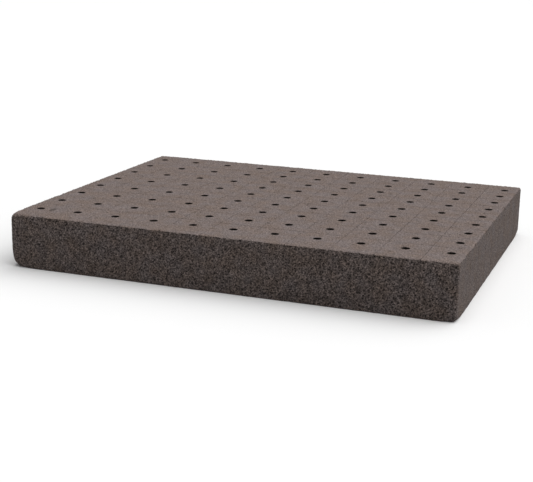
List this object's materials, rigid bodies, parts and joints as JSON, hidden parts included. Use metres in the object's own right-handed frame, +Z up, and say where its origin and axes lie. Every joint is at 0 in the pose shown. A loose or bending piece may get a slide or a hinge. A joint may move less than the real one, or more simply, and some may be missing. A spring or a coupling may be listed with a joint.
{
  "type": "plant propagation foam sheet",
  "caption": "Flat rectangular sheet of dark rigid foam, slit from the top into small cells that fold open and snap apart, each with a round planting hole.",
  "frame": {"origin": "centre of the flat underside", "axes": "+X along the long side, +Y from the front face to the back face, +Z up, out of the face with the planting holes"},
  "size_m": [0.307, 0.2412, 0.037],
  "materials": {
    "foam": "dry open-pore rigid foam, crumbly and fully matte"
  },
  "bodies": {
    "cell_01_1": {"cell_01_1": "foam"},
    "cell_01_2": {"cell_01_2": "foam"},
    "cell_01_3": {"cell_01_3": "foam"},
    "cell_01_4": {"cell_01_4": "foam"},
    "cell_01_5": {"cell_01_5": "foam"},
    "cell_01_6": {"cell_01_6": "foam"},
    "cell_01_7": {"cell_01_7": "foam"},
    "cell_01_8": {"cell_01_8": "foam"},
    "cell_02_1": {"cell_02_1": "foam"},
    "cell_02_2": {"cell_02_2": "foam"},
    "cell_02_3": {"cell_02_3": "foam"},
    "cell_02_4": {"cell_02_4": "foam"},
    "cell_02_5": {"cell_02_5": "foam"},
    "cell_02_6": {"cell_02_6": "foam"},
    "cell_02_7": {"cell_02_7": "foam"},
    "cell_02_8": {"cell_02_8": "foam"},
    "cell_03_1": {"cell_03_1": "foam"},
    "cell_03_2": {"cell_03_2": "foam"},
    "cell_03_3": {"cell_03_3": "foam"},
    "cell_03_4": {"cell_03_4": "foam"},
    "cell_03_5": {"cell_03_5": "foam"},
    "cell_03_6": {"cell_03_6": "foam"},
    "cell_03_7": {"cell_03_7": "foam"},
    "cell_03_8": {"cell_03_8": "foam"},
    "strip_04": {"strip_04": "foam"},
    "strip_05": {"strip_05": "foam"},
    "strip_06": {"strip_06": "foam"},
    "strip_07": {"strip_07": "foam"},
    "strip_08": {"strip_08": "foam"},
    "cell_09_1": {"cell_09_1": "foam"},
    "cell_09_2": {"cell_09_2": "foam"},
    "cell_09_3": {"cell_09_3": "foam"},
    "cell_09_4": {"cell_09_4": "foam"},
    "cell_09_5": {"cell_09_5": "foam"},
    "cell_09_6": {"cell_09_6": "foam"},
    "cell_09_7": {"cell_09_7": "foam"},
    "cell_09_8": {"cell_09_8": "foam"},
    "cell_09_9": {"cell_09_9": "foam"},
    "cell_10_1": {"cell_10_1": "foam"},
    "cell_10_2": {"cell_10_2": "foam"},
    "cell_10_3": {"cell_10_3": "foam"},
    "cell_10_4": {"cell_10_4": "foam"},
    "cell_10_5": {"cell_10_5": "foam"},
    "cell_10_6": {"cell_10_6": "foam"},
    "cell_10_7": {"cell_10_7": "foam"},
    "cell_10_8": {"cell_10_8": "foam"},
    "cell_10_9": {"cell_10_9": "foam"},
    "cell_11_1": {"cell_11_1": "foam"},
    "cell_11_2": {"cell_11_2": "foam"},
    "cell_11_3": {"cell_11_3": "foam"},
    "cell_11_4": {"cell_11_4": "foam"},
    "cell_11_5": {"cell_11_5": "foam"},
    "cell_11_6": {"cell_11_6": "foam"},
    "cell_11_7": {"cell_11_7": "foam"},
    "cell_11_8": {"cell_11_8": "foam"},
    "cell_11_9": {"cell_11_9": "foam"}
  },
  "joints": [
    {"name": "fold_cell_01_1", "type": "hinge", "parent": "cell_02_1", "child": "cell_01_1", "pos_m": [-0.12774, -0.09791, 0], "axis": [0, -1, 0], "range_deg": [0, 10]},
    {"name": "fold_cell_01_2", "type": "hinge", "parent": "cell_02_2", "child": "cell_01_2", "pos_m": [-0.12774, -0.06934, 0], "axis": [0, -1, 0], "range_deg": [0, 10]},
    {"name": "fold_cell_01_3", "type": "hinge", "parent": "cell_02_3", "child": "cell_01_3", "pos_m": [-0.12774, -0.04076, 0], "axis": [0, -1, 0], "range_deg": [0, 10]},
    {"name": "fold_cell_01_4", "type": "hinge", "parent": "cell_02_4", "child": "cell_01_4", "pos_m": [-0.12774, -0.01219, 0], "axis": [0, -1, 0], "range_deg": [0, 10]},
    {"name": "fold_cell_01_5", "type": "hinge", "parent": "cell_02_5", "child": "cell_01_5", "pos_m": [-0.12774, 0.01639, 0], "axis": [0, -1, 0], "range_deg": [0, 10]},
    {"name": "fold_cell_01_6", "type": "hinge", "parent": "cell_02_6", "child": "cell_01_6", "pos_m": [-0.12774, 0.04496, 0], "axis": [0, -1, 0], "range_deg": [0, 10]},
    {"name": "fold_cell_01_7", "type": "hinge", "parent": "cell_02_7", "child": "cell_01_7", "pos_m": [-0.12774, 0.07354, 0], "axis": [0, -1, 0], "range_deg": [0, 10]},
    {"name": "fold_cell_01_8", "type": "hinge", "parent": "cell_02_8", "child": "cell_01_8", "pos_m": [-0.12774, 0.10211, 0], "axis": [0, -1, 0], "range_deg": [0, 10]},
    {"name": "fold_cell_02_1", "type": "hinge", "parent": "cell_03_1", "child": "cell_02_1", "pos_m": [-0.09916, -0.09791, 0], "axis": [0, -1, 0], "range_deg": [0, 10]},
    {"name": "fold_cell_02_2", "type": "hinge", "parent": "cell_03_2", "child": "cell_02_2", "pos_m": [-0.09916, -0.06934, 0], "axis": [0, -1, 0], "range_deg": [0, 10]},
    {"name": "fold_cell_02_3", "type": "hinge", "parent": "cell_03_3", "child": "cell_02_3", "pos_m": [-0.09916, -0.04076, 0], "axis": [0, -1, 0], "range_deg": [0, 10]},
    {"name": "fold_cell_02_4", "type": "hinge", "parent": "cell_03_4", "child": "cell_02_4", "pos_m": [-0.09916, -0.01219, 0], "axis": [0, -1, 0], "range_deg": [0, 10]},
    {"name": "fold_cell_02_5", "type": "hinge", "parent": "cell_03_5", "child": "cell_02_5", "pos_m": [-0.09916, 0.01639, 0], "axis": [0, -1, 0], "range_deg": [0, 10]},
    {"name": "fold_cell_02_6", "type": "hinge", "parent": "cell_03_6", "child": "cell_02_6", "pos_m": [-0.09916, 0.04496, 0], "axis": [0, -1, 0], "range_deg": [0, 10]},
    {"name": "fold_cell_02_7", "type": "hinge", "parent": "cell_03_7", "child": "cell_02_7", "pos_m": [-0.09916, 0.07354, 0], "axis": [0, -1, 0], "range_deg": [0, 10]},
    {"name": "fold_cell_02_8", "type": "hinge", "parent": "cell_03_8", "child": "cell_02_8", "pos_m": [-0.09916, 0.10211, 0], "axis": [0, -1, 0], "range_deg": [0, 10]},
    {"name": "fold_cell_03_1", "type": "hinge", "parent": "strip_04", "child": "cell_03_1", "pos_m": [-0.07059, -0.09791, 0], "axis": [0, -1, 0], "range_deg": [0, 10]},
    {"name": "fold_cell_03_2", "type": "hinge", "parent": "strip_04", "child": "cell_03_2", "pos_m": [-0.07059, -0.06934, 0], "axis": [0, -1, 0], "range_deg": [0, 10]},
    {"name": "fold_cell_03_3", "type": "hinge", "parent": "strip_04", "child": "cell_03_3", "pos_m": [-0.07059, -0.04076, 0], "axis": [0, -1, 0], "range_deg": [0, 10]},
    {"name": "fold_cell_03_4", "type": "hinge", "parent": "strip_04", "child": "cell_03_4", "pos_m": [-0.07059, -0.01219, 0], "axis": [0, -1, 0], "range_deg": [0, 10]},
    {"name": "fold_cell_03_5", "type": "hinge", "parent": "strip_04", "child": "cell_03_5", "pos_m": [-0.07059, 0.01639, 0], "axis": [0, -1, 0], "range_deg": [0, 10]},
    {"name": "fold_cell_03_6", "type": "hinge", "parent": "strip_04", "child": "cell_03_6", "pos_m": [-0.07059, 0.04496, 0], "axis": [0, -1, 0], "range_deg": [0, 10]},
    {"name": "fold_cell_03_7", "type": "hinge", "parent": "strip_04", "child": "cell_03_7", "pos_m": [-0.07059, 0.07354, 0], "axis": [0, -1, 0], "range_deg": [0, 10]},
    {"name": "fold_cell_03_8", "type": "hinge", "parent": "strip_04", "child": "cell_03_8", "pos_m": [-0.07059, 0.10211, 0], "axis": [0, -1, 0], "range_deg": [0, 10]},
    {"name": "fold_strip_04", "type": "hinge", "parent": "strip_05", "child": "strip_04", "pos_m": [-0.04201, 0, 0], "axis": [0, -1, 0], "range_deg": [0, 10]},
    {"name": "fold_strip_05", "type": "hinge", "parent": "strip_06", "child": "strip_05", "pos_m": [-0.01344, 0, 0], "axis": [0, -1, 0], "range_deg": [0, 10]},
    {"name": "fold_strip_07", "type": "hinge", "parent": "strip_06", "child": "strip_07", "pos_m": [0.01514, 0, 0], "axis": [0, 1, 0], "range_deg": [0, 10]},
    {"name": "fold_strip_08", "type": "hinge", "parent": "strip_07", "child": "strip_08", "pos_m": [0.04371, 0, 0], "axis": [0, 1, 0], "range_deg": [0, 10]},
    {"name": "fold_cell_09_1", "type": "hinge", "parent": "strip_08", "child": "cell_09_1", "pos_m": [0.07229, -0.09791, 0], "axis": [0, 1, 0], "range_deg": [0, 10]},
    {"name": "fold_cell_09_2", "type": "hinge", "parent": "strip_08", "child": "cell_09_2", "pos_m": [0.07229, -0.07072, 0], "axis": [0, 1, 0], "range_deg": [0, 10]},
    {"name": "fold_cell_09_3", "type": "hinge", "parent": "strip_08", "child": "cell_09_3", "pos_m": [0.07229, -0.04416, 0], "axis": [0, 1, 0], "range_deg": [0, 10]},
    {"name": "fold_cell_09_4", "type": "hinge", "parent": "strip_08", "child": "cell_09_4", "pos_m": [0.07229, -0.01821, 0], "axis": [0, 1, 0], "range_deg": [0, 10]},
    {"name": "fold_cell_09_5", "type": "hinge", "parent": "strip_08", "child": "cell_09_5", "pos_m": [0.07229, 0.0071, 0], "axis": [0, 1, 0], "range_deg": [0, 10]},
    {"name": "fold_cell_09_6", "type": "hinge", "parent": "strip_08", "child": "cell_09_6", "pos_m": [0.07229, 0.03179, 0], "axis": [0, 1, 0], "range_deg": [0, 10]},
    {"name": "fold_cell_09_7", "type": "hinge", "parent": "strip_08", "child": "cell_09_7", "pos_m": [0.07229, 0.05586, 0], "axis": [0, 1, 0], "range_deg": [0, 10]},
    {"name": "fold_cell_09_8", "type": "hinge", "parent": "strip_08", "child": "cell_09_8", "pos_m": [0.07229, 0.0793, 0], "axis": [0, 1, 0], "range_deg": [0, 10]},
    {"name": "fold_cell_09_9", "type": "hinge", "parent": "strip_08", "child": "cell_09_9", "pos_m": [0.07229, 0.10211, 0], "axis": [0, 1, 0], "range_deg": [0, 10]},
    {"name": "fold_cell_10_1", "type": "hinge", "parent": "cell_09_1", "child": "cell_10_1", "pos_m": [0.10086, -0.09791, 0], "axis": [0, 1, 0], "range_deg": [0, 10]},
    {"name": "fold_cell_10_2", "type": "hinge", "parent": "cell_09_2", "child": "cell_10_2", "pos_m": [0.10086, -0.07072, 0], "axis": [0, 1, 0], "range_deg": [0, 10]},
    {"name": "fold_cell_10_3", "type": "hinge", "parent": "cell_09_3", "child": "cell_10_3", "pos_m": [0.10086, -0.04416, 0], "axis": [0, 1, 0], "range_deg": [0, 10]},
    {"name": "fold_cell_10_4", "type": "hinge", "parent": "cell_09_4", "child": "cell_10_4", "pos_m": [0.10086, -0.01821, 0], "axis": [0, 1, 0], "range_deg": [0, 10]},
    {"name": "fold_cell_10_5", "type": "hinge", "parent": "cell_09_5", "child": "cell_10_5", "pos_m": [0.10086, 0.0071, 0], "axis": [0, 1, 0], "range_deg": [0, 10]},
    {"name": "fold_cell_10_6", "type": "hinge", "parent": "cell_09_6", "child": "cell_10_6", "pos_m": [0.10086, 0.03179, 0], "axis": [0, 1, 0], "range_deg": [0, 10]},
    {"name": "fold_cell_10_7", "type": "hinge", "parent": "cell_09_7", "child": "cell_10_7", "pos_m": [0.10086, 0.05586, 0], "axis": [0, 1, 0], "range_deg": [0, 10]},
    {"name": "fold_cell_10_8", "type": "hinge", "parent": "cell_09_8", "child": "cell_10_8", "pos_m": [0.10086, 0.0793, 0], "axis": [0, 1, 0], "range_deg": [0, 10]},
    {"name": "fold_cell_10_9", "type": "hinge", "parent": "cell_09_9", "child": "cell_10_9", "pos_m": [0.10086, 0.10211, 0], "axis": [0, 1, 0], "range_deg": [0, 10]},
    {"name": "fold_cell_11_1", "type": "hinge", "parent": "cell_10_1", "child": "cell_11_1", "pos_m": [0.12944, -0.09791, 0], "axis": [0, 1, 0], "range_deg": [0, 10]},
    {"name": "fold_cell_11_2", "type": "hinge", "parent": "cell_10_2", "child": "cell_11_2", "pos_m": [0.12944, -0.07072, 0], "axis": [0, 1, 0], "range_deg": [0, 10]},
    {"name": "fold_cell_11_3", "type": "hinge", "parent": "cell_10_3", "child": "cell_11_3", "pos_m": [0.12944, -0.04416, 0], "axis": [0, 1, 0], "range_deg": [0, 10]},
    {"name": "fold_cell_11_4", "type": "hinge", "parent": "cell_10_4", "child": "cell_11_4", "pos_m": [0.12944, -0.01821, 0], "axis": [0, 1, 0], "range_deg": [0, 10]},
    {"name": "fold_cell_11_5", "type": "hinge", "parent": "cell_10_5", "child": "cell_11_5", "pos_m": [0.12944, 0.0071, 0], "axis": [0, 1, 0], "range_deg": [0, 10]},
    {"name": "fold_cell_11_6", "type": "hinge", "parent": "cell_10_6", "child": "cell_11_6", "pos_m": [0.12944, 0.03179, 0], "axis": [0, 1, 0], "range_deg": [0, 10]},
    {"name": "fold_cell_11_7", "type": "hinge", "parent": "cell_10_7", "child": "cell_11_7", "pos_m": [0.12944, 0.05586, 0], "axis": [0, 1, 0], "range_deg": [0, 10]},
    {"name": "fold_cell_11_8", "type": "hinge", "parent": "cell_10_8", "child": "cell_11_8", "pos_m": [0.12944, 0.0793, 0], "axis": [0, 1, 0], "range_deg": [0, 10]},
    {"name": "fold_cell_11_9", "type": "hinge", "parent": "cell_10_9", "child": "cell_11_9", "pos_m": [0.12944, 0.10211, 0], "axis": [0, 1, 0], "range_deg": [0, 10]}
  ]
}
